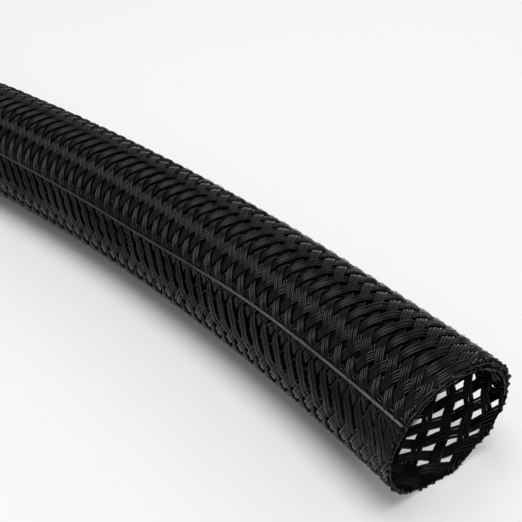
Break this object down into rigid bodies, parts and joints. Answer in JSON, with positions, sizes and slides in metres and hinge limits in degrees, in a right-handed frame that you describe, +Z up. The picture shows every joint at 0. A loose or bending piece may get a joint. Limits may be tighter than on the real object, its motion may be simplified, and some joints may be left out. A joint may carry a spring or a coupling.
{
  "type": "braided cable sleeve",
  "caption": "Length of split, self-wrapping braided cable sleeve, an open round tube whose long edges overlap, lying in a gentle bend.",
  "frame": {"origin": "middle of the sleeve's box, on the floor it lies on", "axes": "+X along the sleeve towards the end with the slightly skewed cut, +Z up, -Y the side where the outer edge shows"},
  "size_m": [0.3085, 0.0414, 0.0252],
  "materials": {
    "braid": "black polyester monofilament braid, satin sheen"
  },
  "bodies": {
    "root": {"braided_sleeve": "braid"}
  },
  "joints": []
}
